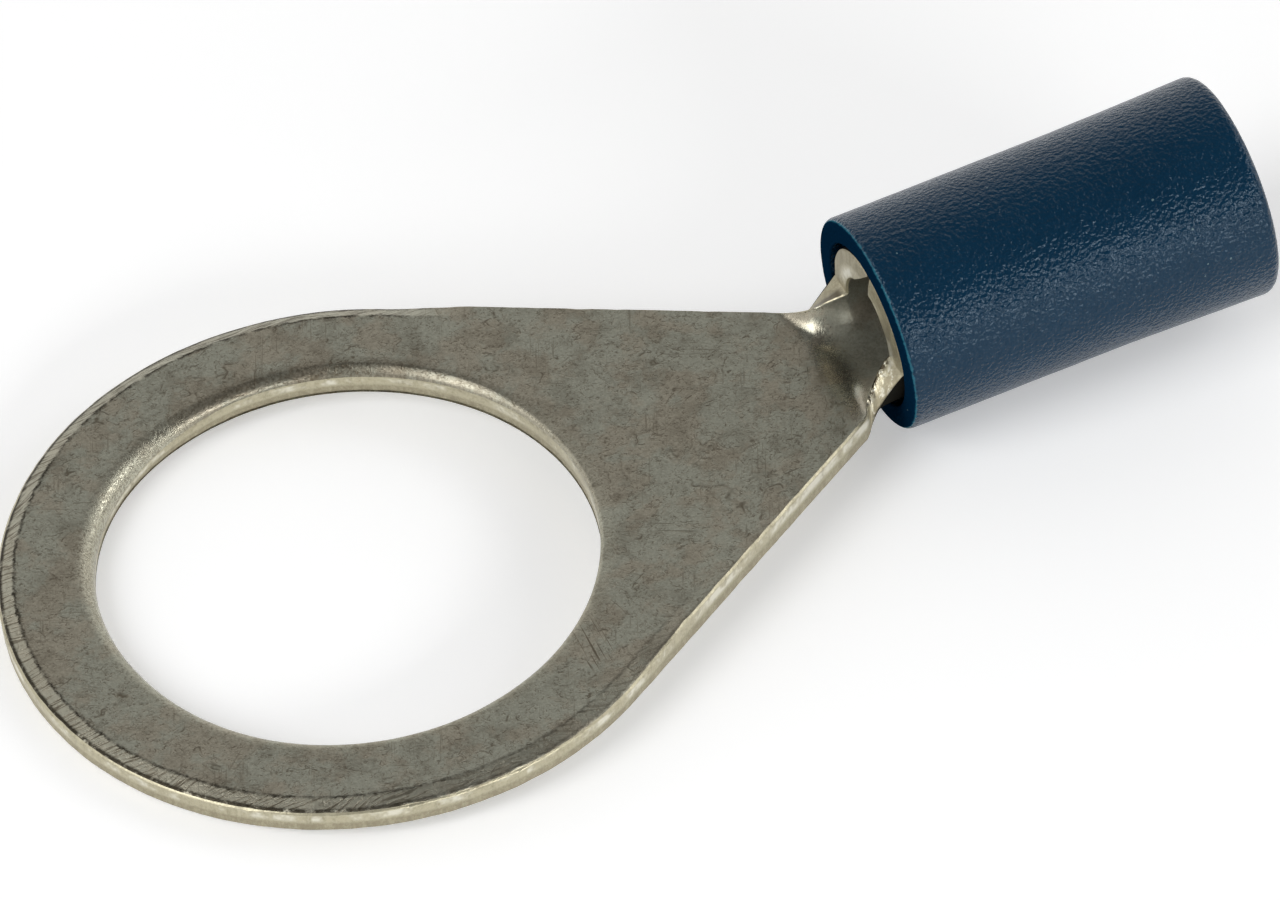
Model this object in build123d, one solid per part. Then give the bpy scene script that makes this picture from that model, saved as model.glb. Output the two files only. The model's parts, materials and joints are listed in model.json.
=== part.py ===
from build123d import *
from math import acos, atan2, cos, degrees, hypot, radians, sin, tan
import os

# Insulated ring terminal: a stamped, dished and rolled sheet part in a moulded sleeve.
# Millimetres. The origin is the centre of the stud hole in the plane of the tongue's
# underside. +X runs along the barrel to the wire entry, +Z is up, on the seam's side.

# Sheet and stud ring
sheet = 0.8
stud_hole = 13.0
ring_width = 17.75
hole_round = 0.35
rim_bevel_width = 0.42
rim_bevel_drop = 0.17
rim_bevel_fade = 2.4

# Neck, where the sheet dishes and then folds up into the barrel
hole_to_barrel = 14.77
neck_width = 4.1
fold_length = 0.94
dish_length = 1.15
dish_depth = 0.18
dish_stations = 3
fold_stations = 6
climb_power = 0.6
climb_settling = 1.5

# Wire barrel
barrel_bore = 2.5
barrel_length = 5.6
barrel_drop = 0.34
barrel_mouth_chamfer = 0.2
seam_turn = 10.0
seam_gap = 0.04
seam_lip = 0.12
seam_opening = 42.0
grip_grooves = 3
grip_groove_pitch = 1.2
grip_groove_width = 0.35
grip_groove_depth = 0.1

# Insulating sleeve
sleeve_length = 10.32
sleeve_lead = 0.03
jacket_bore = 4.6
skirt_wall = 0.58
flare = 0.09
flare_start = 6.3
seat_clearance = 0.02
mouth_depth = 1.1
mouth_gap = 0.16
stop_depth = 0.45
stop_length = 0.4
entry_chamfer = 0.2
front_round = 0.18
rear_round = 0.28

# Radii and places that follow from the sizes above
ring_r = ring_width / 2
barrel_inner_r = barrel_bore / 2
barrel_outer_r = barrel_inner_r + sheet
barrel_axis_z = barrel_outer_r - barrel_drop
barrel_rear = hole_to_barrel + barrel_length
neck_x = hole_to_barrel - fold_length
neck_y = neck_width / 2
dish_x = neck_x - dish_length
barrel_axis = Axis((0, 0, barrel_axis_z), (1, 0, 0))

# Each flank is the tangent from the neck's corner to the ring
tangent_turn = degrees(atan2(neck_y, neck_x) + acos(ring_r / hypot(neck_x, neck_y)))
tangent_x = ring_r * cos(radians(tangent_turn))
tangent_y = ring_r * sin(radians(tangent_turn))


def flank_y(x):
    """Half width of the tongue at x, on the tangent between ring and neck."""
    return neck_y + (neck_x - x) / tan(radians(tangent_turn))


def blend(start, end, share):
    """Value at share of the way from start to end."""
    return start + (end - start) * share


def climb(share):
    """How far the sheet's edges have climbed in the fold: fast at first, level at the barrel."""
    return (1 - (1 - share) ** climb_settling) ** climb_power


def tongue():
    """Flat ring and tapering tongue, as far as the dish begins."""
    taper = Polygon(
        (tangent_x, -tangent_y),
        (dish_x, -flank_y(dish_x)),
        (dish_x, flank_y(dish_x)),
        (tangent_x, tangent_y),
        align=None,
    )
    blank = Circle(ring_r) + taper - Circle(stud_hole / 2)
    plate = extrude(blank, sheet)
    hole_edges = plate.edges().filter_by(GeomType.CIRCLE).sort_by(SortBy.RADIUS)[:2]
    punched_edge = hole_edges.sort_by(Axis.Z)[-1]
    return fillet(punched_edge, min(hole_round, 0.6 * sheet)) - rim_bevel()


def rim_bevel():
    """Cut along the ring's upper rim that runs out on both flanks."""
    corner = Polygon(
        (ring_r - rim_bevel_width, sheet),
        (ring_r, sheet - rim_bevel_drop),
        (ring_r + rim_bevel_width, sheet - rim_bevel_drop),
        (ring_r + rim_bevel_width, sheet + rim_bevel_drop),
        align=None,
    )
    outwards = Vector(cos(radians(tangent_turn)), sin(radians(tangent_turn)))
    along_flank = Vector(outwards.Y, -outwards.X)
    start = Plane((0, 0, 0), x_dir=outwards, z_dir=along_flank) * corner
    run_out = outwards * ring_r + along_flank * rim_bevel_fade + Vector(0, 0, sheet)
    fade = loft([start, Vertex(*run_out)])
    return revolve(start, Axis.Z, 360 - 2 * tangent_turn) + fade + mirror(fade, Plane.XZ)


def bent_section(x, inner_end, outer_end, sink):
    """Sheet section across the neck at x: ends at the given (y, z), middle sunk by sink."""
    mirrored_inner = (-inner_end[0], inner_end[1])
    mirrored_outer = (-outer_end[0], outer_end[1])
    outline = [
        ThreePointArc(mirrored_outer, (0, -sink), outer_end),
        Line(outer_end, inner_end),
        ThreePointArc(inner_end, (0, sheet - sink), mirrored_inner),
        Line(mirrored_inner, mirrored_outer),
    ]
    return Plane.YZ.offset(x) * make_face(outline)


def flat_section(x):
    """Sheet section across the tongue at x, before it dishes."""
    return Plane.YZ.offset(x) * Pos(0, sheet / 2) * Rectangle(2 * flank_y(x), sheet)


def dish():
    """Stretch where the middle of the sheet sinks while its edges stay in the tongue's plane."""
    sections = [flat_section(dish_x)]
    for station in range(1, dish_stations + 1):
        share = station / dish_stations
        x = blend(dish_x, neck_x, share)
        edge = flank_y(x)
        sections.append(bent_section(x, (edge, sheet), (edge, 0), dish_depth * share ** 2))
    return loft(sections)


def fold():
    """Stretch where the edges climb, from the dish to the lower half of the barrel."""
    sections = []
    for station in range(fold_stations + 1):
        share = (station / fold_stations) ** 2
        climbed = climb(share)
        inner_end = (blend(neck_y, barrel_inner_r, climbed), blend(sheet, barrel_axis_z, climbed))
        outer_end = (blend(neck_y, barrel_outer_r, climbed), blend(0, barrel_axis_z, climbed))
        x = blend(neck_x, hole_to_barrel, share)
        sections.append(bent_section(x, inner_end, outer_end, blend(dish_depth, barrel_drop, share)))
    return loft(sections)


def ring_about_barrel(start, length, inner, outer):
    """Plain ring about the barrel's axis."""
    wall = Pos(start, barrel_axis_z + inner) * Rectangle(length, outer - inner, align=(Align.MIN, Align.MIN))
    return revolve(Plane.XZ * wall, barrel_axis)


def barrel():
    """Rolled wire barrel with its butt seam, grip grooves and chamfered wire entry."""
    tube = ring_about_barrel(hole_to_barrel, barrel_length, barrel_inner_r, barrel_outer_r)
    entry = tube.faces().sort_by(Axis.X)[-1].edges().sort_by(SortBy.RADIUS)[0]
    tube = chamfer(entry, min(barrel_mouth_chamfer, sheet / 2))
    first = blend(hole_to_barrel, barrel_rear, 0.5) - grip_groove_pitch * (grip_grooves - 1) / 2
    for groove in range(grip_grooves):
        start = first + groove * grip_groove_pitch - grip_groove_width / 2
        groove_r = barrel_inner_r + grip_groove_depth
        tube -= ring_about_barrel(start, grip_groove_width, barrel_inner_r / 2, groove_r)
    return tube - seam_cut()


def seam_cut():
    """Butt seam: a hairline at the outside that opens to a notch inside, on the far half."""
    notch_y = barrel_inner_r * sin(radians(seam_opening))
    notch_z = barrel_inner_r * cos(radians(seam_opening))
    profile = Polygon(
        (-seam_gap / 2, 0),
        (notch_y, 0),
        (notch_y, notch_z),
        (seam_gap / 2, barrel_outer_r - seam_lip),
        (seam_gap / 2, barrel_outer_r + sheet),
        (-seam_gap / 2, barrel_outer_r + sheet),
        align=None,
    )
    cut = extrude(Plane.YZ * profile, barrel_length)
    return Pos(hole_to_barrel, 0, barrel_axis_z) * Rot(seam_turn, 0, 0) * cut


def terminal_body():
    """The whole metal part, one piece of sheet."""
    return tongue() + dish() + fold() + barrel()


def insulating_sleeve():
    """Moulded tube, seated on the barrel and flared behind it round the wire's jacket."""
    front = hole_to_barrel - sleeve_lead
    rear = front + sleeve_length
    jacket_r = jacket_bore / 2
    outer_r = jacket_r + skirt_wall
    seat_r = barrel_outer_r + seat_clearance
    mouth_r = barrel_outer_r + mouth_gap
    stop_r = seat_r - stop_depth
    stop_x = barrel_rear + seat_clearance
    funnel_start = stop_x + stop_length
    funnel_end = funnel_start + jacket_r - stop_r
    outline = [
        (front, mouth_r),
        (front, outer_r),
        (front + flare_start, outer_r),
        (rear, outer_r + flare),
        (rear, jacket_r + entry_chamfer),
        (rear - entry_chamfer, jacket_r),
        (funnel_end, jacket_r),
        (funnel_start, stop_r),
        (stop_x, stop_r),
        (stop_x, seat_r),
        (front + mouth_depth, seat_r),
        (front + mouth_depth, mouth_r),
    ]
    wall = Pos(0, barrel_axis_z) * Polygon(*outline, align=None)
    sleeve = revolve(Plane.XZ * wall, barrel_axis)
    front_rim = sleeve.faces().sort_by(Axis.X)[0].edges().sort_by(SortBy.RADIUS)[-1]
    sleeve = fillet(front_rim, min(front_round, skirt_wall / 2))
    rear_rim = sleeve.faces().sort_by(Axis.X)[-1].edges().sort_by(SortBy.RADIUS)[-1]
    return fillet(rear_rim, min(rear_round, skirt_wall / 2))


os.makedirs("parts", exist_ok=True)
export_step(terminal_body(), "parts/terminal_body.step")
export_step(insulating_sleeve(), "parts/insulating_sleeve.step")
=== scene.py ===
import json
import logging
import math
from dataclasses import dataclass, field
from enum import Enum
from functools import reduce
from typing import Union

import bpy
import numpy as np
from mathutils import Matrix, Vector, noise


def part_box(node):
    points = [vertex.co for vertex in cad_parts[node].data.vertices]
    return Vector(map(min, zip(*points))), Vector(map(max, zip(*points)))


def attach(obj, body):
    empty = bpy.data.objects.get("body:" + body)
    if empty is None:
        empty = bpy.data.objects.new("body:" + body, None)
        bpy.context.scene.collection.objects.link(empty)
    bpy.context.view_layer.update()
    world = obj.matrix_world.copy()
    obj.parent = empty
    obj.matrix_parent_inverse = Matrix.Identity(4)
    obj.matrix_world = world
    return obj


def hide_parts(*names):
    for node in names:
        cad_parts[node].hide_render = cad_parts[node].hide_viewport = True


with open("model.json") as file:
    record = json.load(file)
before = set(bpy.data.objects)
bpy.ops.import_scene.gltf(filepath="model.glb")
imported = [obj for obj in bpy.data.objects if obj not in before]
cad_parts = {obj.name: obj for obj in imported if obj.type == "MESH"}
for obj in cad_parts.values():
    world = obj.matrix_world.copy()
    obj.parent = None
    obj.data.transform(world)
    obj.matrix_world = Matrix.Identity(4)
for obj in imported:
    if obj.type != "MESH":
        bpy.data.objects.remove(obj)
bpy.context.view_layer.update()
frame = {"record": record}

MM = 0.001
FAR_AWAY = 9.0
TINY = 1e-6
CREASE = math.radians(42)
WHITE = (1.0, 1.0, 1.0, 1.0)
LOG = logging.getLogger("ring_terminal")
Number = Union[float, np.ndarray]
Amount = Union["Value", float]
Outputs = dict[Union[str, int], "Value"]


def blend(start: Number, end: Number, share: Number) -> Number:
    """Value at share of the way from start to end."""
    return start + (end - start) * share


def ease(share: Number) -> Number:
    """Share from 0 to 1 with a soft start and a soft stop."""
    held = np.clip(share, 0.0, 1.0)
    return held * held * (3.0 - 2.0 * held)


class Ripple(Enum):
    """Smooth random fields, each with its lumps per millimetre and its seed."""

    SHEET_SLOW = (0.45, 3.0)
    SHEET_QUICK = (1.6, 9.0)
    TEAR = (8.0, 21.0)
    TEAR_FINE = (15.0, 5.0)
    EDGE_WEAR = (2.2, 14.0)
    FRACTURE = (4.0, 31.0)
    HOLLOW = (6.0, 40.0)
    MOULD_SLOW = (0.5, 2.0)
    MOULD_QUICK = (1.7, 8.0)
    BURR = (1.4, 6.0)

    def at(self, points: np.ndarray) -> np.ndarray:
        """Works out the field's heights, from -1 to 1.

        Args:
            points: one row of x, y, z per point, in millimetres.

        Returns:
            One height per point.
        """
        per_mm, seed = self.value
        shift = Vector((seed, -seed, 0.5 * seed))
        return np.array([noise.noise(Vector(point) * per_mm + shift) for point in points])


@dataclass(frozen=True)
class FrameSizes:
    """Sizes and places of the CAD solids, in millimetres."""

    hole_r: float
    ring_r: float
    sheet: float
    bore_r: float
    barrel_r: float
    barrel_rear: float
    axis_z: float
    sleeve_front: float
    sleeve_rear: float
    sleeve_rear_r: float
    jacket_r: float

    @classmethod
    def read(cls) -> "FrameSizes":
        """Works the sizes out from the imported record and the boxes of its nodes.

        Returns:
            The sizes that every piece here is built from.
        """
        mounts = {mount["name"]: mount for mount in frame["record"]["mounts"]}
        bores = ("stud_hole", "wire_barrel", "jacket_entry")
        hole_r, bore_r, jacket_r = (mounts[name]["dims"]["r_mm"] for name in bores)
        axis_z = mounts["wire_barrel"]["pos_m"][2] / MM
        body_low, body_high = (Vector(corner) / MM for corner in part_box("terminal_body"))
        sleeve_low, sleeve_high = (Vector(corner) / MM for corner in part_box("insulating_sleeve"))
        barrel_r = body_high.z - axis_z
        return cls(
            hole_r=hole_r,
            ring_r=-body_low.x,
            sheet=barrel_r - bore_r,
            bore_r=bore_r,
            barrel_r=barrel_r,
            barrel_rear=body_high.x,
            axis_z=axis_z,
            sleeve_front=sleeve_low.x,
            sleeve_rear=sleeve_high.x,
            sleeve_rear_r=sleeve_high.y,
            jacket_r=jacket_r,
        )


class Face(Enum):
    """Kinds of surface on the metal part, in the order of its material slots."""

    PLATED = 0
    SHEARED = 1


@dataclass(frozen=True)
class Mark:
    """What the finish and the cut edges need to know at one vertex of the sheet.

    Gaps are millimetres. The other values are strengths, where 0 is none and 1 is full.
    """

    rim_gap: float = FAR_AWAY
    scraped: float = 0.0
    hole_gap: float = FAR_AWAY
    hole_wear: float = 0.0
    hole_dirt: float = 0.0
    rolled: float = 0.0
    torn: float = 0.0
    hollow: float = 0.0


@dataclass
class SheetSkin:
    """Two skins of one bent sheet with the same quads, closed by sheared edges.

    The inner skin is the upper side of the tongue and the inside of the barrel.
    """

    inner: list = field(default_factory=list)
    outer: list = field(default_factory=list)
    quads: list = field(default_factory=list)
    marks: list = field(default_factory=list)

    def add(self, inner: np.ndarray, outer: np.ndarray, mark: Mark = Mark()) -> int:
        """Adds one vertex to both skins.

        Args:
            inner: place on the inner skin.
            outer: place on the outer skin, across the sheet.
            mark: what the finish and the edges need to know there.

        Returns:
            The index of the vertex on both skins.
        """
        self.inner.append(inner)
        self.outer.append(outer)
        self.marks.append(mark)
        return len(self.inner) - 1

    def values(self, name: str) -> np.ndarray:
        """One value of every vertex's mark."""
        return np.array([getattr(mark, name) for mark in self.marks], dtype=float)

    def add_quads(self, left: np.ndarray, right: np.ndarray) -> None:
        """Adds the quads between columns of vertices and their neighbours on the right."""
        corners = [left[:, :-1], left[:, 1:], right[:, 1:], right[:, :-1]]
        self.quads += map(tuple, np.stack(corners, axis=-1).reshape(-1, 4).tolist())

    def edge_loops(self) -> list[list[int]]:
        """Finds the sheet's cut edges.

        Returns:
            Closed loops of vertices, with the sheet on the left.
        """
        seen = set()
        for quad in self.quads:
            seen.update(zip(quad, quad[1:] + quad[:1]))
        left = {a: b for a, b in seen if (b, a) not in seen}
        loops = []
        while left:
            loop = [min(left)]
            step = left.pop(loop[0])
            while step != loop[0]:
                loop.append(step)
                step = left.pop(step)
            loops.append(loop)
        return loops


@dataclass(frozen=True)
class Bend:
    """How one skin of the sheet climbs from the tongue's plane into the barrel's round form.

    A lead is how far ahead of the neck line that edge starts, in millimetres. A power below
    1 makes the climb steep at first. The start softens the first moment of the bend, and
    settling above 1 makes it level out at the barrel.
    """

    lead_near: float
    lead_far: float
    power_near: float
    power_far: float
    start: float
    settling: float

    def climbed(self, past_neck: float, length: float, t: float) -> float:
        """Share of the climb that is done at one place.

        Args:
            past_neck: distance past the neck line, in millimetres.
            length: distance from the neck line to the barrel.
            t: place across the sheet, from -1 at the near edge to 1 at the far edge.

        Returns:
            0 where the skin is still flat, 1 where it is round.
        """
        lead = (self.lead_near if t < 0 else self.lead_far) * abs(t)
        own = min(max((past_neck + lead) / (length + lead), 0.0), 1.0)
        soft = min(own ** 3 / (own ** 2 + self.start ** 2) * (1 + self.start ** 2), 1.0)
        power = blend(self.power_near, self.power_far, float(ease((t + 1) / 2)))
        return (1 - (1 - soft) ** self.settling) ** power


@dataclass
class StampedTerminal:
    """Ring, tongue, formed neck and rolled barrel, all one piece of plated sheet.

    Lengths are millimetres and turns degrees. The other values are shares, or counts of
    rows. Each key of the hole's edge holds a turn, the edge's rounding there, how far it is
    a straight cut, its wear and painted sheen, and its dirt and painted shade. Rim rows lie
    that many bevel widths from the rim, and mouth rows at lengths behind it. Fracture and
    hollow lie at shares of the sheet's thickness, counted from its upper skin. The fades say
    how fast the fold's torn and hollow edges come and go along it, and its spread gives the
    sheet's half width there.
    """

    sizes: FrameSizes
    barrel_front: float = 14.77
    neck_width: float = 4.1
    fold_length: float = 0.94
    inner_bend: Bend = Bend(0.15, 0.65, 0.75, 0.95, 0.14, 1.3)
    outer_bend: Bend = Bend(0.15, 0.6, 0.6, 0.9, 0.15, 1.0)
    dish_length: float = 1.15
    dish_depth: float = 0.18
    hole_edge_keys: tuple = (
        (-30.0, 0.13, 0.0, 0.45, 0.0),
        (12.0, 0.14, 0.0, 0.5, 0.0),
        (36.0, 0.22, 0.5, 0.3, 0.3),
        (60.0, 0.25, 0.4, 0.0, 0.8),
        (92.0, 0.25, 0.4, 0.0, 0.8),
        (108.0, 0.38, 0.1, 0.7, 0.1),
        (128.0, 0.50, 0.0, 1.0, 0.0),
        (150.0, 0.48, 0.0, 1.0, 0.0),
        (190.0, 0.32, 0.0, 0.45, 0.0),
        (270.0, 0.24, 0.0, 0.4, 0.0),
        (330.0, 0.13, 0.0, 0.45, 0.0),
    )
    hole_dent: float = 0.19
    hole_dent_turn: float = 185.0
    hole_dent_spread: float = 40.0
    bevel_width: float = 0.42
    bevel_drop: float = 0.17
    bevel_fade: float = 2.4
    scrape_fade_near: float = 6.5
    scrape_fade_far: float = 2.4
    scrape_at_tip: float = 1.2
    scrape_near_flank: float = 0.55
    scrape_eases_from: float = 235.0
    scrape_eases_over: float = 45.0
    edge_round: float = 0.05
    edge_wear: float = 0.035
    fracture_step: float = 0.02
    fracture_from: float = 0.5
    fracture_over: float = 0.3
    fracture_rough: float = 0.5
    hollow_depth: float = 0.03
    hollow_mean: float = 0.7
    hollow_rough: float = 0.6
    hollow_rise: float = 0.1
    hollow_end: float = 0.62
    hollow_fall: float = 0.25
    waviness: float = 0.012
    quick_share: float = 0.4
    waviness_end: float = 0.4
    torn_depth: float = 0.03
    torn_width: float = 0.13
    torn_least: float = 0.02
    tear_floor: float = 0.3
    tear_gain: float = 1.4
    tear_fine: float = 0.8
    tear_aside: float = 0.8
    # These values paint shade: the inner skin darkens a little into the trough and the barrel, partly soot
    # and partly painted shade, and the outer skin turns near black towards the sleeve's mouth, a painted
    # shade.
    inside_soot_and_shade: float = 0.27
    soot_and_shade_from: float = 0.1
    soot_and_shade_over: float = 0.5
    under_shade_from: float = -0.05
    under_shade_over: float = 0.3
    drawn_from: float = 0.1
    drawn_over: float = 0.9
    seam_turn: float = 10.0
    seam_gap: float = 0.04
    seam_opening: float = 42.0
    grooves: int = 3
    groove_pitch: float = 1.2
    groove_width: float = 0.35
    groove_depth: float = 0.1
    groove_profile: tuple = ((-0.5, 0.0), (-0.46, 1.0), (0.46, 1.0), (0.5, 0.0))
    entry_chamfer: float = 0.2
    across_neck: int = 110
    along_flank: int = 90
    along_arc: int = 330
    across_roll: int = 8
    across_tongue: int = 14
    rim_rows: tuple = (3.0, 2.4, 1.9, 1.5, 1.2, 1.0, 0.9, 0.72, 0.5, 0.32, 0.19, 0.0)
    along_fold: int = 44
    fold_crowding: float = 1.4
    fold_spread: float = 1.6
    fade_in: float = 8.0
    fade_out: float = 5.0
    fade_end: float = 1.02
    over_quarter: int = 26
    mouth_rows: tuple = (0.0, 0.05, 0.12, 0.22, 0.4, 0.7, 1.0, 1.3)
    wall_levels: tuple = (0.0, 0.025, 0.06, 0.1, 0.16, 0.26, 0.42, 0.6, 0.78, 0.9, 0.96, 1.0)

    def __post_init__(self) -> None:
        """Works out the neck's corner and where each flank meets the ring."""
        self.neck_x = self.barrel_front - self.fold_length
        self.neck_y = self.neck_width / 2
        self.dish_x = self.neck_x - self.dish_length
        reach = math.hypot(self.neck_x, self.neck_y)
        self.tangent_turn = math.atan2(self.neck_y, self.neck_x) + math.acos(self.sizes.ring_r / reach)

    def flank_y(self, x: float) -> float:
        """Half width of the tongue at x."""
        return self.neck_y + (self.neck_x - x) / math.tan(self.tangent_turn)

    def outline(self) -> tuple[np.ndarray, np.ndarray, np.ndarray]:
        """Outline of the blank, counterclockwise from the neck's near corner.

        Returns:
            The outline's points, and how fully the rim's bevel and its scrape marks are there.
        """
        corner = np.array([self.neck_x, self.neck_y])
        ring_r = self.sizes.ring_r
        tangent = ring_r * np.array([math.cos(self.tangent_turn), math.sin(self.tangent_turn)])
        neck = [(self.neck_x, y) for y in np.linspace(-self.neck_y, self.neck_y, self.across_neck + 1)]
        shares = np.linspace(0, 1, self.along_flank + 1)[1:-1]
        far = [tuple(corner + (tangent - corner) * share) for share in shares]
        turns = np.linspace(self.tangent_turn, 2 * math.pi - self.tangent_turn, self.along_arc + 1)
        arc = [(ring_r * math.cos(turn), ring_r * math.sin(turn)) for turn in turns]
        near = [(x, -y) for x, y in reversed(far)]
        from_ring = (1 - shares) * float(np.linalg.norm(corner - tangent))
        none = np.zeros(len(neck))
        bevelled = ease(1 - from_ring / self.bevel_fade)
        bevel = np.concatenate([none, bevelled, np.ones(len(arc)), bevelled[::-1]])
        marked_far = ease(1 - from_ring / self.scrape_fade_far)
        marked_near = ease(1 - from_ring / self.scrape_fade_near) * self.scrape_near_flank
        past_tip = ease((np.degrees(turns) - self.scrape_eases_from) / self.scrape_eases_over)
        marked_arc = blend(self.scrape_at_tip, self.scrape_near_flank, past_tip)
        scraped = np.concatenate([none, marked_far, marked_arc, marked_near[::-1]])
        return np.array(neck + far + arc + near), bevel, scraped

    def sink(self, x: float) -> float:
        """How low the middle of the sheet lies, without a kink from the tongue to the barrel.

        Args:
            x: place along the terminal.

        Returns:
            The drop below the tongue's plane.
        """
        if x < self.neck_x:
            return self.dish_depth * max((x - self.dish_x) / self.dish_length, 0.0) ** 2
        share = (x - self.neck_x) / self.fold_length
        drop = self.sizes.barrel_r - self.sizes.axis_z
        slope = 2 * self.dish_depth / self.dish_length * self.fold_length
        start = (2 * share ** 3 - 3 * share ** 2 + 1) * self.dish_depth
        return start + (share ** 3 - 2 * share ** 2 + share) * slope + float(ease(share)) * drop

    def on_barrel(self, x: float, radius: float, turn: float) -> np.ndarray:
        """Point at a turn in radians about the barrel's axis, where 0 is straight below."""
        return np.array([x, radius * math.sin(turn), self.sizes.axis_z - radius * math.cos(turn)])

    def formed(self, x: float, t: float, inner: bool) -> np.ndarray:
        """Point of one skin in the tongue, the dish or the fold.

        Args:
            x: place along the terminal.
            t: place across it, from -1 at the near edge to 1 at the far edge.
            inner: whether it is the upper skin.

        Returns:
            The point.
        """
        s = self.sizes
        radius, top, bend = s.barrel_r, 0.0, self.outer_bend
        if inner:
            radius, top, bend = s.bore_r, s.sheet, self.inner_bend
        climbed = bend.climbed(x - self.neck_x, self.fold_length, t)
        flat = np.array([x, self.flank_y(min(x, self.neck_x)) * t, top - self.sink(x) * (1 - t ** 2)])
        return blend(flat, self.on_barrel(x, radius, t * math.pi / 2), climbed)

    def plate(self, skin: SheetSkin) -> np.ndarray:
        """Adds the ring and the tongue, as columns from the stud hole out to the outline.

        Args:
            skin: the skins that the vertices go to.

        Returns:
            The grid of indices, one row per column of the blank.
        """
        roll = 1 - np.sin(np.linspace(math.pi / 2, 0, self.across_roll))
        rim = self.bevel_width * np.array(self.rim_rows)
        grid = []
        for (x, y), bevelled, marked in zip(*self.outline()):
            reach = math.hypot(x, y)
            hole_r, rounding, cut, wear, dirt = self.hole_edge(math.atan2(y, x))
            middle = np.linspace(hole_r + rounding, reach - rim[0], self.across_tongue)[1:-1]
            radii = np.concatenate([hole_r + rounding * roll, middle, reach - rim])
            column = []
            for radius in radii:
                x_here, y_here = x / reach * radius, y / reach * radius
                if x_here > self.dish_x:
                    t = float(np.clip(y_here / self.flank_y(x_here), -1, 1))
                    upper, under = self.formed(x_here, t, True), self.formed(x_here, t, False)
                else:
                    upper, under = (np.array([x_here, y_here, z]) for z in (self.sizes.sheet, 0.0))
                inwards = max(rounding - (radius - hole_r), 0.0)
                drop = blend(rounding - math.sqrt(rounding ** 2 - inwards ** 2), inwards, cut)
                band = max(1 - (reach - radius) / self.bevel_width, 0.0) * bevelled
                upper[2] -= drop + self.bevel_drop * band
                mark = Mark(
                    rim_gap=reach - radius,
                    scraped=marked,
                    hole_gap=radius - hole_r,
                    hole_wear=wear,
                    hole_dirt=dirt,
                    rolled=float(radius == radii[0]),
                )
                column.append(skin.add(upper, under, mark))
            grid.append(column)
        return np.array(grid)

    def hole_edge(self, turn: float) -> tuple[float, float, float, float, float]:
        """Form of the stud hole's upper edge at a turn about its centre.

        Args:
            turn: the turn, in radians from +X.

        Returns:
            The hole's radius, a little less where it is dented, the edge's rounding, how far
            the rounding is a straight cut, its wear and painted sheen, and its dirt and painted shade.
        """
        keys = np.array(self.hole_edge_keys).T
        degrees = (math.degrees(turn) - keys[0, 0]) % 360 + keys[0, 0]
        rounding, cut, wear, dirt = (float(np.interp(degrees, keys[0], row)) for row in keys[1:])
        away = (degrees - self.hole_dent_turn) / self.hole_dent_spread
        return self.sizes.hole_r - self.hole_dent * math.exp(-(away ** 2)), rounding, cut, wear, dirt

    def fold(self, skin: SheetSkin, neck_line: list[int]) -> np.ndarray:
        """Adds the stretch where the edges climb from the tongue to the barrel.

        Args:
            skin: the skins that the vertices go to.
            neck_line: indices of the plate's vertices across the neck.

        Returns:
            The grid of indices, one row per column across the neck.
        """
        half_width = (self.neck_y + self.sizes.bore_r) / self.fold_spread
        rows = [neck_line]
        for step in range(1, self.along_fold + 1):
            share = (step / self.along_fold) ** self.fold_crowding
            x = blend(self.neck_x, self.barrel_front, share)
            fading = float(ease(self.fade_in * share) * ease(self.fade_out * (self.fade_end - share)))
            row = []
            for t in np.linspace(-1, 1, self.across_neck + 1):
                near_gap = (1 + t) * half_width
                torn = fading * math.exp(-((near_gap / self.torn_width) ** 2))
                mark = Mark(torn=torn, hollow=fading * float(t > 0))
                row.append(skin.add(self.formed(x, t, True), self.formed(x, t, False), mark))
            rows.append(row)
        return np.array(rows).T

    def barrel_stations(self) -> list[tuple[float, float]]:
        """Lists the barrel's rows of vertices.

        Returns:
            For each row its place along the barrel and how much wider the bore is there.
        """
        length = self.sizes.barrel_rear - self.barrel_front
        stations = [(x, 0.0) for x in self.mouth_rows]
        first = length / 2 - self.groove_pitch * (self.grooves - 1) / 2
        for groove in range(self.grooves):
            middle = first + groove * self.groove_pitch
            for side, depth in self.groove_profile:
                stations.append((middle + side * self.groove_width, depth * self.groove_depth))
        stations += [(length - self.entry_chamfer * back, 0.0) for back in (2, 1)]
        return stations + [(length, self.entry_chamfer)]

    def barrel(self, skin: SheetSkin, mouth: list[int]) -> np.ndarray:
        """Adds the rolled barrel, from the seam's near edge round below to its far edge.

        Args:
            skin: the skins that the vertices go to.
            mouth: indices of the fold's last vertices, which the lower half starts from.

        Returns:
            The grid of indices, one row per column round the barrel.
        """
        s = self.sizes
        slit = math.degrees(self.seam_gap / 2 / s.barrel_r)
        far_end = 180 + self.seam_turn - slit
        lower = np.linspace(-90, 90, self.across_neck + 1)
        near = np.linspace(-180 + self.seam_turn + slit, -90, self.over_quarter + 1)[:-1]
        sides = []
        for end in (far_end - self.seam_opening, far_end):
            far = np.linspace(90, end, self.over_quarter + 1)[1:]
            sides.append(np.radians(np.concatenate([near, lower, far])))
        stations = self.barrel_stations()
        grid = np.zeros((len(sides[0]), len(stations)), dtype=int)
        for b, (along, wider) in enumerate(stations):
            x = self.barrel_front + along
            for k, (turn_in, turn_out) in enumerate(zip(*sides)):
                below = k - self.over_quarter
                if b == 0 and 0 <= below <= self.across_neck:
                    grid[k, b] = mouth[below]
                    continue
                inner = self.on_barrel(x, s.bore_r + wider, turn_in)
                grid[k, b] = skin.add(inner, self.on_barrel(x, s.barrel_r, turn_out))
        return grid

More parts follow.
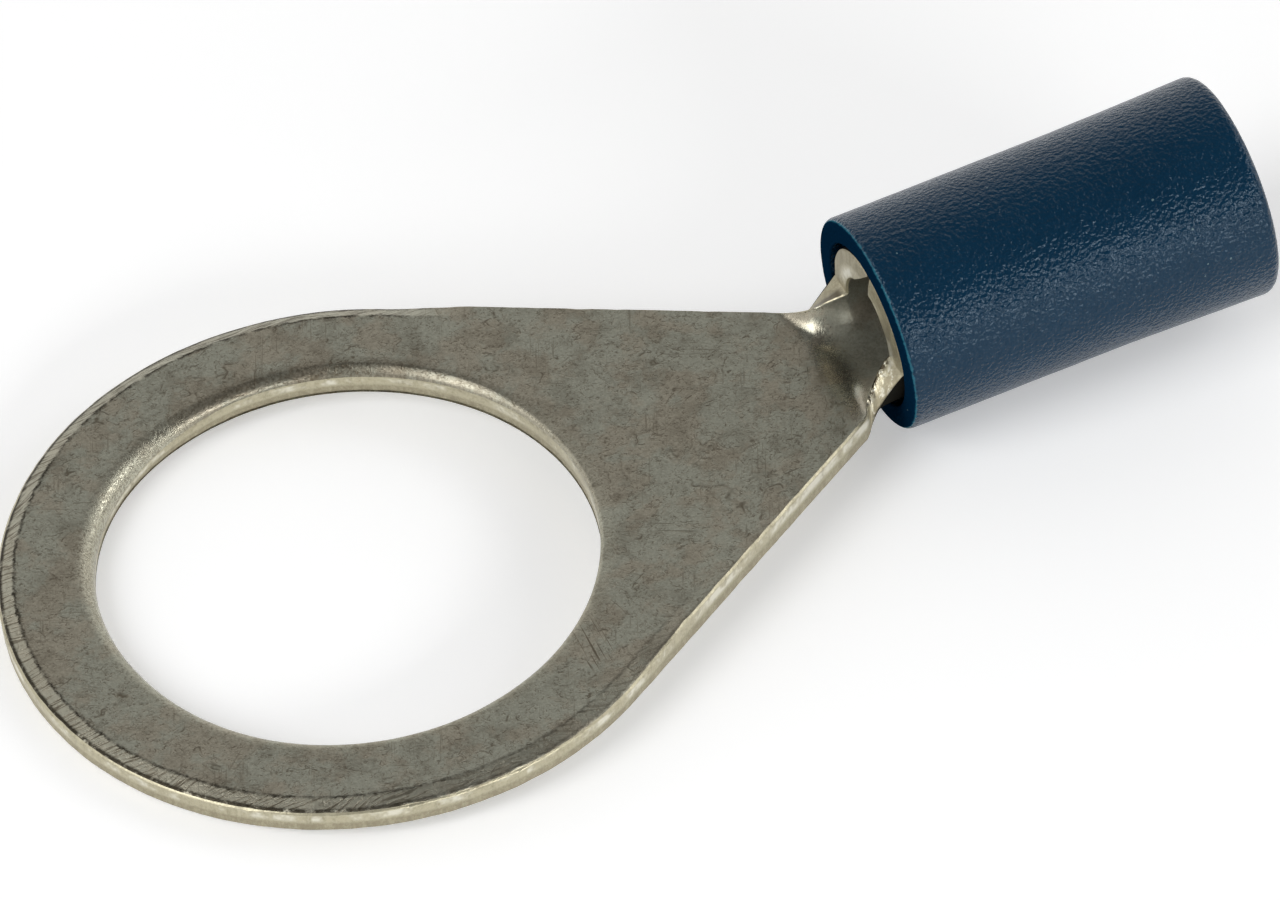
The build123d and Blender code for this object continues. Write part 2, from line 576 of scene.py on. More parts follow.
    def roughen(self, skin: SheetSkin) -> None:
        """Gives the sheet the slight waviness of its forming and tears the near cheek's edge.

        Args:
            skin: the skins, whose vertices are moved.
        """
        inner, outer = np.array(skin.inner), np.array(skin.outer)
        calm = ease((self.sizes.sleeve_front + self.waviness_end - inner[:, 0]) / self.waviness_end)
        waves = Ripple.SHEET_SLOW.at(inner) + self.quick_share * Ripple.SHEET_QUICK.at(inner)
        lift = self.waviness * calm * waves
        inner[:, 2] += lift
        outer[:, 2] += lift
        torn = skin.values("torn")
        touched = torn > self.torn_least
        ragged = inner[touched]
        pits = Ripple.TEAR.at(ragged) + self.tear_fine * np.abs(Ripple.TEAR_FINE.at(ragged))
        inner[touched, 2] -= self.torn_depth * torn[touched] * (self.tear_floor + self.tear_gain * pits)
        inner[touched, 1] += self.tear_aside * self.torn_depth * torn[touched] * pits
        skin.inner, skin.outer = list(inner), list(outer)

    def walls(self, skin: SheetSkin) -> tuple[np.ndarray, list, dict[str, list]]:
        """Closes the sheared edges between the two skins.

        Args:
            skin: the finished skins. Their edge vertices are drawn in by the edges' rounding.

        Returns:
            The walls' own vertices, the quads over all vertices, and the values that the
            sheared finish reads at each own vertex.
        """
        inner, outer = np.array(skin.inner), np.array(skin.outer)
        count = len(inner)
        places, quads = [], []
        read = {"depth": [], "torn": [], "hollow": []}
        for ring in map(np.array, skin.edge_loops()):
            top, low = inner[ring], outer[ring]
            outward = np.cross(np.roll(top, -1, axis=0) - np.roll(top, 1, axis=0), top - low)
            outward /= np.linalg.norm(outward, axis=1)[:, None]
            wear = np.clip(Ripple.EDGE_WEAR.at(top), 0, 1) * self.edge_wear
            rough = 1 + self.fracture_rough * Ripple.FRACTURE.at(low)
            thick = np.linalg.norm(top - low, axis=1)
            rounded = self.edge_round * (1 - skin.values("rolled")[ring])
            uneven = self.hollow_mean + self.hollow_rough * Ripple.HOLLOW.at(top)
            hollow = self.hollow_depth * skin.values("hollow")[ring] * uneven
            levels = []
            for level, depth in enumerate(self.wall_levels):
                top_gap = 1 - ease(depth * thick / (rounded + wear + TINY))
                low_gap = 1 - ease((1 - depth) * thick / self.edge_round)
                step = self.fracture_step * ease((depth - self.fracture_from) / self.fracture_over) * rough
                deep = ease(depth / self.hollow_rise) * ease((self.hollow_end - depth) / self.hollow_fall)
                inset = (rounded + wear * (rounded > 0)) * top_gap + self.edge_round * low_gap
                inset = inset + step + hollow * float(deep)
                place = top + (low - top) * depth - outward * inset[:, None]
                if level == 0:
                    inner[ring] = place
                    levels.append(ring)
                elif level == len(self.wall_levels) - 1:
                    outer[ring] = place
                    levels.append(ring + count)
                else:
                    levels.append(2 * count + len(places) + np.arange(len(ring)))
                    places.extend(place)
                    read["depth"].extend([depth] * len(ring))
                    for name in ("torn", "hollow"):
                        read[name].extend(skin.values(name)[ring])
            for upper, lower in zip(levels, levels[1:]):
                quads.extend(zip(np.roll(upper, -1), upper, lower, np.roll(lower, -1)))
        skin.inner, skin.outer = list(inner), list(outer)
        return np.array(places), quads, read

    def build(self) -> bpy.types.Object:
        """Builds the metal part's mesh and dresses it.

        Returns:
            The object, with its faces sorted into plated and sheared ones.
        """
        skin = SheetSkin()
        plate = self.plate(skin)
        fold = self.fold(skin, list(plate[: self.across_neck + 1, -1]))
        barrel = self.barrel(skin, list(fold[:, -1]))
        skin.add_quads(plate, np.roll(plate, -1, axis=0))
        for grid in (fold, barrel):
            skin.add_quads(grid[:-1], grid[1:])
        self.roughen(skin)
        places, wall_quads, read = self.walls(skin)
        count, extra = len(skin.inner), len(places)
        vertices = np.concatenate([skin.inner, skin.outer, places])
        plated = skin.quads + [tuple(i + count for i in reversed(quad)) for quad in skin.quads]
        kinds = np.repeat([Face.PLATED.value, Face.SHEARED.value], [len(plated), len(wall_quads)])
        piece = new_piece("stamped_terminal", vertices, np.array(plated + wall_quads), kinds)
        elsewhere = {"rim_gap": FAR_AWAY, "hole_gap": FAR_AWAY, "scraped": 0, "hole_wear": 0, "hole_dirt": 0}
        for name, value in elsewhere.items():
            store(piece, name, np.concatenate([skin.values(name), np.full(count + extra, value)]))
        for name in ("torn", "hollow"):
            store(piece, name, np.concatenate([skin.values(name), skin.values(name), read[name]]))
        store(piece, "depth", np.concatenate([np.zeros(count), np.ones(count), read["depth"]]))
        x = vertices[:, 0]
        # Painted shade: the outer skin is painted near black towards the sleeve's mouth, and the inner skin
        # a little darker into the barrel, partly soot and partly painted shade.
        inside = self.inside_soot_and_shade * ease((x[:count] - self.neck_x - self.soot_and_shade_from) / self.soot_and_shade_over)
        under = ease((x[count:2 * count] - self.neck_x - self.under_shade_from) / self.under_shade_over)
        store(piece, "grime", np.concatenate([inside, under, np.zeros(extra)]))
        store(piece, "drawn", ease((x - self.dish_x - self.drawn_from) / self.drawn_over))
        self.dress(piece)
        return piece

    def dress(self, piece: bpy.types.Object) -> None:
        """Gives the piece its finishes, in the order of Face."""
        for finish in (PlatedFace(), ShearedFace()):
            piece.data.materials.append(finish.material())


def new_object(name: str, data: bpy.types.ID) -> bpy.types.Object:
    """Makes an object in the scene.

    Args:
        name: the object's name.
        data: its mesh, camera or light.

    Returns:
        The new object.
    """
    made = bpy.data.objects.new(name, data)
    bpy.context.scene.collection.objects.link(made)
    return made


def new_piece(name: str, vertices: np.ndarray, faces: np.ndarray, kinds: np.ndarray) -> bpy.types.Object:
    """Makes a smooth-shaded mesh object from points in millimetres.

    Args:
        name: the piece's name.
        vertices: one row of x, y, z per vertex.
        faces: one row of vertex indices per face.
        kinds: material slot of each face.

    Returns:
        The new object, linked to the scene.
    """
    mesh = bpy.data.meshes.new(name)
    mesh.from_pydata((vertices * MM).tolist(), [], faces.tolist())
    mesh.validate()
    mesh.shade_smooth()
    mesh.polygons.foreach_set("material_index", kinds.tolist())
    mesh.set_sharp_from_angle(angle=CREASE)
    return new_object(name, mesh)


def store(piece: bpy.types.Object, name: str, values: np.ndarray) -> None:
    """Stores one number per vertex, for the materials to read."""
    made = piece.data.attributes.new(name, "FLOAT", "POINT")
    made.data.foreach_set("value", np.asarray(values, dtype=np.float32))


@dataclass
class InsulatingSleeve:
    """Moulded tube, seated on the barrel, with a funnel and a flared skirt behind it.

    Lengths are millimetres. The pale band's place is a share of the front rounding and its
    depth a share of the band. Shaded start is where the end face's shade begins, in shaded
    depths.
    """

    sizes: FrameSizes
    flare: float = 0.09
    flare_start: float = 6.3
    seat_clearance: float = 0.02
    mouth_depth: float = 1.1
    mouth_gap: float = 0.16
    stop_depth: float = 0.45
    stop_length: float = 0.4
    entry_chamfer: float = 0.2
    front_round: float = 0.18
    rear_round: float = 0.28
    inner_round: float = 0.05
    waviness: float = 0.008
    quick_share: float = 0.5
    smooth_inside: float = 0.3
    burr: float = 0.02
    burr_reach: float = 0.1
    pale_band: float = 0.12
    pale_place: float = 0.3
    pale_depth: float = 1.5
    dull_depth: float = 0.05
    shaded_depth: float = 0.08
    shaded_start: float = 1.2
    around: int = 256
    over_corner: int = 7
    step: float = 0.16

    def corners(self) -> list[tuple[float, float, float]]:
        """Corners of the wall's section, from the mouth round the outside.

        Returns:
            Each corner's x, radius and rounding.
        """
        s = self.sizes
        front, rear = s.sleeve_front, s.sleeve_rear
        outer_r = s.sleeve_rear_r - self.flare
        seat_r, mouth_r = s.barrel_r + self.seat_clearance, s.barrel_r + self.mouth_gap
        stop_r, stop_x = seat_r - self.stop_depth, s.barrel_rear + self.seat_clearance
        funnel_x = stop_x + self.stop_length
        fine = self.inner_round
        return [
            (front, mouth_r, fine),
            (front, outer_r, self.front_round),
            (front + self.flare_start, outer_r, 0.0),
            (rear, s.sleeve_rear_r, self.rear_round),
            (rear, s.jacket_r + self.entry_chamfer, fine),
            (rear - self.entry_chamfer, s.jacket_r, fine),
            (funnel_x + s.jacket_r - stop_r, s.jacket_r, fine),
            (funnel_x, stop_r, fine),
            (stop_x, stop_r, 0.0),
            (stop_x, seat_r, 0.0),
            (front + self.mouth_depth, seat_r, 0.0),
            (front + self.mouth_depth, mouth_r, 0.0),
        ]

    def section(self) -> np.ndarray:
        """Closed section of the wall, with round corners and even steps.

        Returns:
            One row of x and radius per point.
        """
        corners = self.corners()
        points = []
        for index, (x, r, rounding) in enumerate(corners):
            here = np.array([x, r])
            if rounding == 0:
                points.append(here)
                continue
            before = np.array(corners[index - 1][:2]) - here
            after = np.array(corners[(index + 1) % len(corners)][:2]) - here
            before /= np.linalg.norm(before)
            after /= np.linalg.norm(after)
            half = math.acos(float(np.clip(before @ after, -1, 1))) / 2
            reach = rounding / math.tan(half)
            start, end = here + before * reach, here + after * reach
            centre = here + (before + after) / np.linalg.norm(before + after) * rounding / math.sin(half)
            for share in np.linspace(0, 1, self.over_corner):
                chord = blend(start, end, share) - centre
                points.append(centre + chord / np.linalg.norm(chord) * rounding)
        stepped = []
        for here, after in zip(points, points[1:] + points[:1]):
            pieces = max(1, round(float(np.linalg.norm(after - here)) / self.step))
            stepped += [blend(here, after, share) for share in np.arange(pieces) / pieces]
        return np.array(stepped)

    def build(self) -> bpy.types.Object:
        """Builds the sleeve's mesh and dresses it.

        Returns:
            The object, with its front end face in a slot of its own.
        """
        s = self.sizes
        x, radius = self.section().T
        rings = []
        for turn in np.linspace(0, 2 * math.pi, self.around, endpoint=False):
            rings.append(np.stack([x, radius * math.sin(turn), s.axis_z + radius * math.cos(turn)], axis=1))
        vertices, radii = np.concatenate(rings), np.tile(radius, self.around)
        self.shape(vertices, radii)
        ring = np.arange(len(vertices)).reshape(self.around, -1)
        after = np.roll(ring, -1, axis=0)
        corners = [ring, after, np.roll(after, -1, axis=1), np.roll(ring, -1, axis=1)]
        faces = np.stack(corners, axis=-1).reshape(-1, 4)
        dull = vertices[faces, 0].mean(axis=1) - s.sleeve_front < self.dull_depth
        piece = new_piece("moulded_sleeve", vertices, faces, dull.astype(int))
        into = vertices[:, 0] - s.sleeve_front
        from_band = np.abs(into - self.pale_place * self.front_round) / self.pale_band
        below = (s.sleeve_rear_r - self.flare - radii) / self.pale_band
        store(piece, "front", ease(1 - from_band) * ease(self.pale_depth - below))
        store(piece, "end_face", ease(self.shaded_start - into / self.shaded_depth))
        self.dress(piece)
        return piece

    def dress(self, piece: bpy.types.Object) -> None:
        """Gives the piece its plastic, and the same without gloss for the front end face."""
        for finish in (MouldedPlastic(), MouldedPlastic(name="dull_end_face", gloss=0.0)):
            piece.data.materials.append(finish.material())

    def shape(self, vertices: np.ndarray, radii: np.ndarray) -> None:
        """Gives the outside the slight unevenness of a moulding and the front rim its burr.

        Args:
            vertices: the sleeve's vertices, which are moved.
            radii: each vertex's distance from the axis.
        """
        across = vertices[:, 1:] - np.array([0.0, self.sizes.axis_z])
        outside = ease((radii - self.sizes.barrel_r - self.smooth_inside) / self.smooth_inside)
        waves = Ripple.MOULD_SLOW.at(vertices) + self.quick_share * Ripple.MOULD_QUICK.at(vertices)
        lift = self.waviness * waves
        near_rim = ease(1 - np.abs(vertices[:, 0] - self.sizes.sleeve_front) / self.burr_reach)
        lift += self.burr * near_rim * np.clip(Ripple.BURR.at(vertices), 0, 1)
        vertices[:, 1:] += across / np.linalg.norm(across, axis=1)[:, None] * (lift * outside)[:, None]


class Slope(Enum):
    """How a ramp climbs between its two ends."""

    EASED = "SMOOTHSTEP"
    EVEN = "LINEAR"


class Value:
    """Value that changes over a surface. Arithmetic with it adds Math nodes."""

    def __init__(self, links: "Links", socket: bpy.types.NodeSocket) -> None:
        """Takes the nodes that the value belongs to and the output that gives it."""
        self.links = links
        self.socket = socket

    def __add__(self, other: Amount) -> "Value":
        """Sum."""
        return self.links.math("ADD", self, other)

    def __mul__(self, other: Amount) -> "Value":
        """Product."""
        return self.links.math("MULTIPLY", self, other)

    __radd__ = __add__
    __rmul__ = __mul__

    def __sub__(self, other: Amount) -> "Value":
        """Difference."""
        return self.links.math("SUBTRACT", self, other)

    def __rsub__(self, other: float) -> "Value":
        """Number less this value."""
        return self.links.math("SUBTRACT", other, self)

    def __truediv__(self, other: Amount) -> "Value":
        """Quotient."""
        return self.links.math("DIVIDE", self, other)

    def __rtruediv__(self, other: float) -> "Value":
        """Number over this value."""
        return self.links.math("DIVIDE", other, self)

    def __abs__(self) -> "Value":
        """Value without its sign."""
        return self.links.math("ABSOLUTE", self)

    def most(self, other: Amount) -> "Value":
        """The greater of two values."""
        return self.links.math("MAXIMUM", self, other)

    def ramp(self, low: Amount, high: Amount, slope: Slope = Slope.EASED) -> "Value":
        """Value mapped from low..high to 0..1 and held there."""
        inputs = {"Value": self, "From Min": low, "From Max": high}
        return self.links.node("MapRange", inputs, interpolation_type=slope.value)[0]


class Links:
    """Short way to write the nodes of one material or node group."""

    def __init__(self, tree: bpy.types.NodeTree) -> None:
        """Takes the node tree that the nodes go to."""
        self.tree = tree

    def give(self, made: bpy.types.Node, inputs: dict) -> None:
        """Sets a node's inputs.

        Args:
            made: the node.
            inputs: socket name or number to a plain value, or to a Value that is linked to it.
        """
        for name, value in inputs.items():
            if isinstance(value, Value):
                self.tree.links.new(value.socket, made.inputs[name])
            else:
                made.inputs[name].default_value = value

    def outputs(self, made: bpy.types.Node) -> Outputs:
        """A node's outputs, by number and by name."""
        values = [Value(self, socket) for socket in made.outputs]
        return dict(enumerate(values)) | {value.socket.name: value for value in values}

    def node(self, kind: str, inputs: dict | None = None, **settings: object) -> Outputs:
        """Adds a node.

        Args:
            kind: the node type's name without its ShaderNode prefix.
            inputs: what its inputs get, as in give.
            settings: the node's own settings.

        Returns:
            Its outputs.
        """
        made = self.tree.nodes.new("ShaderNode" + kind)
        for name, value in settings.items():
            setattr(made, name, value)
        self.give(made, inputs or {})
        return self.outputs(made)

    def math(self, operation: str, *values: Amount) -> Value:
        """Result of a Math node."""
        return self.node("Math", dict(enumerate(values)), operation=operation)[0]

    def vector(self, operation: str, *values: object) -> Value:
        """Result of a Vector Math node."""
        return self.node("VectorMath", dict(enumerate(values)), operation=operation)[0]

    def point(self, **parts: Amount) -> Value:
        """Vector put together from X, Y and Z."""
        return self.node("CombineXYZ", parts)[0]

    def turned(self, vector: Value, angle: Amount) -> Value:
        """Vector turned about Z."""
        return self.node("VectorRotate", {"Vector": vector, "Angle": angle}, rotation_type="Z_AXIS")[0]

    def mix(self, share: Amount, low: object, high: object) -> Value:
        """Colour between low and high."""
        return self.node("Mix", {0: share, 6: low, 7: high}, data_type="RGBA")[2]

    def coated(self, colour: Value, *coats: tuple) -> Value:
        """Lays coats over a colour.

        Args:
            colour: the colour below.
            coats: for each coat how far it covers, and its colour.

        Returns:
            The colour on top.
        """
        for share, coat in coats:
            colour = self.mix(share, colour, coat)
        return colour

    def stored(self, name: str) -> Value:
        """Value that the mesh stores under a name."""
        return self.node("Attribute", attribute_name=name)["Fac"]

    def noise(self, vector: Value, scale: Amount, detail: float = 3.0, rough: float = 0.5) -> Value:
        """Noise texture's value at vector."""
        inputs = {"Vector": vector, "Scale": scale, "Detail": detail, "Roughness": rough}
        return self.node("TexNoise", inputs)[0]

    def bump(self, height: Value, strength: float, depth: float) -> Value:
        """Normal of a surface with a fine relief, its depth in millimetres."""
        return self.node("Bump", {"Strength": strength, "Distance": depth * MM, "Height": height})[0]


class Effect:
    """Node group with named sockets, built once and placed as often as finishes need it.

    An input is a number with its own value, or a vector where that is None.
    """

    name = "effect"
    inputs: dict[str, float | None] = {}
    outputs: tuple[str, ...] = ("Mask",)

    def group(self) -> bpy.types.NodeTree:
        """The group's node tree, made on first use.

        Returns:
            The finished node tree.
        """
        if self.name in bpy.data.node_groups:
            return bpy.data.node_groups[self.name]
        tree = bpy.data.node_groups.new(self.name, "ShaderNodeTree")
        for title, value in self.inputs.items():
            kind = "NodeSocketVector" if value is None else "NodeSocketFloat"
            socket = tree.interface.new_socket(title, in_out="INPUT", socket_type=kind)
            if value is not None:
                socket.default_value = value
        for title in self.outputs:
            tree.interface.new_socket(title, in_out="OUTPUT", socket_type="NodeSocketFloat")
        links = Links(tree)
        made = self.wire(links, links.outputs(tree.nodes.new("NodeGroupInput")))
        links.give(tree.nodes.new("NodeGroupOutput"), made)
        return tree

    def wire(self, links: Links, given: Outputs) -> dict[str, Value]:
        """Makes the nodes inside the group.

        Args:
            links: the group's nodes.
            given: the group's inputs.

        Returns:
            What the group puts out, by name.
        """
        raise NotImplementedError

    def place(self, links: Links, *values: object) -> Outputs:
        """Places the group in a material.

        Args:
            links: the material's nodes.
            values: what the first inputs get, in their order. The rest keep their own value.

        Returns:
            The group's outputs.
        """
        return links.node("Group", dict(zip(self.inputs, values)), node_tree=self.group())


class Scratches(Effect):
    """Fine parallel scratches that come and go in patches."""

    name = "fine_scratches"
    inputs = {"Vector": None, "Angle": 0.0, "Per mm": 9.0, "Length": 1.5, "Fewness": 0.6, "Patches": 0.5}

    def wire(self, links: Links, given: Outputs) -> dict[str, Value]:
        """Stretches a noise along the scratches and keeps its peaks inside patches.

        Args:
            links: the group's nodes.
            given: the group's inputs.

        Returns:
            The mask.
        """
        turned = links.turned(given["Vector"], given["Angle"])
        along = 1.0 / given["Length"]
        drawn = links.vector("MULTIPLY", turned, links.point(X=given["Per mm"], Y=along, Z=along))
        peaks = links.noise(drawn, 1.0, detail=1.0)
        peaks = peaks.ramp(given["Fewness"], given["Fewness"] + 0.06, Slope.EVEN)
        kept = links.noise(turned, 0.8, detail=2.0)
        kept = kept.ramp(given["Patches"], given["Patches"] + 0.1, Slope.EVEN)
        return {"Mask": peaks * kept}


class Mottle(Effect):
    """Cloudy stains with a fine grain inside them."""

    name = "mottled_stains"
    inputs = {"Vector": None, "Cloud": 0.6, "Grain": 9.0}
    outputs = ("Cloud", "Grain")

    def wire(self, links: Links, given: Outputs) -> dict[str, Value]:
        """Makes a slow noise and a fine one."""
        cloud = links.noise(given["Vector"], given["Cloud"], detail=6.0, rough=0.62)
        return {"Cloud": cloud, "Grain": links.noise(given["Vector"], given["Grain"], rough=0.65)}


class Hairlines(Effect):
    """Thin crooked and broken lines, like dried stains along old scratches, kept to patches."""

    name = "crooked_hairlines"
    inputs = {"Vector": None, "Scale": 1.0, "Width": 0.012, "Patches": 0.5}
    shift = (7.3, 3.1, 0.0)

    def wire(self, links: Links, given: Outputs) -> dict[str, Value]:
        """Draws the middle lines of a noise and breaks them up where other noises are low.

        Args:
            links: the group's nodes.
            given: the group's inputs.

        Returns:
            The mask.
        """
        winding = links.noise(given["Vector"], given["Scale"], detail=1.5)
        line = (1.0 - abs(winding - 0.5) / given["Width"]).most(0.0)
        moved = links.vector("ADD", given["Vector"], self.shift)
        patches = links.noise(moved, given["Scale"] * 0.9)
        patches = patches.ramp(given["Patches"], given["Patches"] + 0.09, Slope.EVEN)
        dashes = links.noise(moved, given["Scale"] * 3.5, detail=2.0, rough=0.6)
        return {"Mask": line * patches * dashes.ramp(0.42, 0.58)}


class ScratchCluster(Effect):
    """One bundle of fine parallel scratches."""

    name = "scratch_cluster"
    inputs = {
        "Vector": None,
        "Centre": None,
        "Angle": 0.0,
        "Half length": 0.8,
        "Half width": 0.5,
        "Per mm": 12.0,
    }

    def wire(self, links: Links, given: Outputs) -> dict[str, Value]:
        """Draws lines along the turned X axis inside a soft box with uneven ends.

        Args:
            links: the group's nodes.
            given: the group's inputs.

        Returns:
            The mask.
        """
        moved = links.vector("SUBTRACT", given["Vector"], given["Centre"])
        parts = links.node("SeparateXYZ", {0: links.turned(moved, given["Angle"])})
        across = parts["Y"] * given["Per mm"]
        lines = links.noise(links.point(X=parts["X"] * 0.35, Y=across), 1.0, detail=1.0)
        ends = abs(parts["X"]) / given["Half length"] + links.noise(links.point(Y=across), 0.7)
        sides = abs(parts["Y"]) / given["Half width"]
        return {"Mask": lines.ramp(0.54, 0.64) * ends.ramp(1.6, 1.2) * sides.ramp(1.0, 0.8)}


class ScrapedRim(Effect):
    """Band along the ring's rim: scrape marks across it and a dark line on either side."""

    name = "scraped_rim"
    inputs = {"Vector": None, "Gap": FAR_AWAY, "Fade": 0.0, "Width": 0.42}
    outputs = ("Band", "Marks", "Lines")

    def wire(self, links: Links, given: Outputs) -> dict[str, Value]:
        """Works out the band from the gap to the edge, and draws the marks along the part's X.

        Args:
            links: the group's nodes.
            given: the group's inputs.

        Returns:
            The masks of the band, of its marks and of its two lines.
        """
        place, gap, fade = given["Vector"], given["Gap"], given["Fade"]
        parts = links.node("SeparateXYZ", {0: place})
        bent = links.noise(place, 0.3, detail=1.0) * 1.6 + parts["Y"]
        streaks = links.noise(links.point(X=parts["X"] * 1.1, Y=bent * 13.0), 1.0, rough=0.75)
        jitter = links.noise(place, 6.0, detail=4.0, rough=0.75)
        strength = links.noise(place, 2.4, detail=4.0, rough=0.7)
        uneven = (jitter * 0.22 - 0.11) + (streaks * 0.16 - 0.08)
        inside = given["Width"] - (gap + uneven)
        inner_line = abs(inside).ramp(0.075, 0.0) * strength.ramp(0.32, 0.6)
        outer_line = (jitter * 0.08 + gap).ramp(0.21, 0.14) * strength.ramp(0.3, 0.5)
        reach = (strength * 0.9 + inside).ramp(0.25, 0.5)
        coverage = links.noise(place, 0.5, detail=1.0).ramp(0.2, 0.42)
        return {
            "Band": inside.ramp(-0.03, 0.05) * fade,
            "Marks": streaks.ramp(0.48, 0.6) * coverage * reach * fade,
            "Lines": inner_line.most(outer_line) * fade,
        }


class Finish:
    """Look of one kind of surface, which makes a material of it."""

    name = "finish"

    def looks(self, links: Links, place: Value) -> dict:
        """Works out the shader's inputs.

        Args:
            links: the material's nodes.
            place: place on the object in millimetres.

        Returns:
            The inputs by name.
        """
        raise NotImplementedError

    def material(self) -> bpy.types.Material:
        """Builds the material.

        Returns:
            The material, ready to assign.
        """
        made, links, shader = new_material(self.name)
        place = links.vector("MULTIPLY", links.node("TexCoord")["Object"], (1 / MM, 1 / MM, 1 / MM))
        links.give(shader, self.looks(links, place))
        return made


def new_material(name: str) -> tuple[bpy.types.Material, Links, bpy.types.Node]:
    """Makes a material with a plain shader.

    Args:
        name: the material's name.

    Returns:
        The material, its nodes and its Principled shader.
    """
    made = bpy.data.materials.new(name)
    made.use_nodes = True
    return made, Links(made.node_tree), made.node_tree.nodes["Principled BSDF"]


@dataclass(frozen=True)
class PlatedFace(Finish):
    """Dull tin plating: stained, finely scratched, a scraped band along the rim, painted shade and sheen.

    A row of scratches, hairlines or clusters holds that effect's inputs after the place, in
    their order, and then how strongly it shows.
    """

    name: str = "dull_tin_plating"
    grey: tuple = (0.385, 0.383, 0.312, 1.0)
    brown: tuple = (0.382, 0.350, 0.275, 1.0)
    stain: tuple = (0.130, 0.108, 0.074, 1.0)
    # Dark colour of the lines along both edges of the rim band.
    dirt: tuple = (0.0325, 0.0270, 0.0185, 1.0)
    rim: tuple = (0.51, 0.485, 0.385, 1.0)
    worn_and_sheen: tuple = (0.62, 0.60, 0.475, 1.0)
    soot_and_shade: tuple = (0.009, 0.008, 0.007, 1.0)
    metal: float = 0.85
    roughness: float = 0.35
    relief: float = 0.008
    bump: float = 0.7
    stained_share: float = 0.42
    soot_and_shade_share: float = 0.97
    rim_width: float = 0.44
    rim_share: float = 0.5
    scrape_share: float = 0.68
    line_share: float = 0.8
    worn_and_sheen_share: float = 0.55
    pitted_share: float = 0.5
    scratches: tuple = (
        (0.42, 20.0, 1.4, 0.62, 0.52, 0.4),
        (-0.75, 18.0, 0.9, 0.63, 0.54, 0.35),
        (1.25, 22.0, 0.8, 0.62, 0.56, 0.35),
        (2.1, 16.0, 1.8, 0.65, 0.52, 0.45),
    )
    hairlines: tuple = (
        (0.8, 0.016, 0.54, 0.9),
        (1.6, 0.030, 0.50, 0.9),
        (3.2, 0.055, 0.48, 0.8),
        (6.0, 0.100, 0.45, 0.65),
    )
    clusters: tuple = (
        ((4.2, -5.85, 0.8), 1.62, 0.95, 0.5, 0.85),
        ((6.2, -4.2, 0.8), 0.9, 0.8, 0.35, 0.3),
        ((9.6, -1.2, 0.8), -0.5, 1.0, 0.3, 0.3),
        ((-5.4, -5.2, 0.8), 2.4, 0.5, 0.15, 0.4),
    )
    stain_centre: tuple = (9.3, 2.75, 0.8)
    stain_reach: float = 1.5
    stain_core: float = 0.3
    stain_lines: tuple = (1.9, 0.028, 0.4)
    stain_strength: float = 0.85

    def looks(self, links: Links, place: Value) -> dict:
        """Works out the shader's inputs.

        Args:
            links: the material's nodes.
            place: place on the object in millimetres.

        Returns:
            The inputs by name.
        """
        mottle = Mottle().place(links, place, 0.8, 14.0)
        grain, drawn, grime = mottle["Grain"], links.stored("drawn"), links.stored("grime")
        speck = grain.ramp(0.34, 0.66, Slope.EVEN)
        colour = links.mix(mottle["Cloud"].ramp(0.42, 0.56), self.brown, self.grey)
        colour = self.shade(links, colour, speck * 0.28 + 0.88)
        marks = self.marks(links, place) * (1.0 - drawn * 0.6)
        blots = links.noise(place, 2.2, detail=9.0, rough=0.8).ramp(0.53, 0.66)
        clouds = links.noise(place, 0.9, detail=9.0, rough=0.72).ramp(0.48, 0.62)
        blots = (clouds * 0.7 + blots) * (self.stained_share - drawn * 0.2)
        colour = links.coated(colour, (blots, self.stain), (marks, self.stain))
        colour, scrapes, polish = self.edges(links, place, colour)
        smooth = (polish * 1.3).most(drawn)
        height = grain * (1.0 - smooth * 0.6) - marks.most(scrapes)
        # The near-black coat is painted shade under the fold by the sleeve's mouth, and partly soot, partly
        # painted shade inside the barrel.
        return {
            "Base Color": links.coated(colour, (grime * self.soot_and_shade_share, self.soot_and_shade)),
            "Roughness": speck * 0.1 + self.roughness - smooth * 0.14 + grime * 0.4,
            "Metallic": (1.0 - grime) * self.metal,
            "Specular IOR Level": 0.0,
            "Normal": links.bump(height, self.bump, self.relief),
        }

    @staticmethod
    def shade(links: Links, colour: Value, amount: Value) -> Value:
        """Colour made lighter or darker by an amount around 1."""
        grey = links.node("CombineColor", {0: amount, 1: amount, 2: amount})[0]
        return links.node("Mix", {0: 1.0, 6: colour, 7: grey}, data_type="RGBA", blend_type="MULTIPLY")[2]

    def marks(self, links: Links, place: Value) -> Value:
        """Draws the scratches and crooked lines on the flat of the sheet.

        Args:
            links: the material's nodes.
            place: place on the object in millimetres.

        Returns:
            Their mask.
        """
        drawn = []
        kinds = (
            (Scratches(), self.scratches),
            (Hairlines(), self.hairlines),
            (ScratchCluster(), self.clusters),
        )
        for effect, rows in kinds:
            for *values, strength in rows:
                drawn.append(effect.place(links, place, *values)["Mask"] * strength)
        span = {0: place, 1: self.stain_centre}
        away = links.node("VectorMath", span, operation="DISTANCE")["Value"]
        inside = away.ramp(self.stain_reach, self.stain_core * self.stain_reach)
        lines = Hairlines().place(links, place, *self.stain_lines)["Mask"]
        drawn.append(lines * inside * self.stain_strength)
        return reduce(Value.most, drawn)

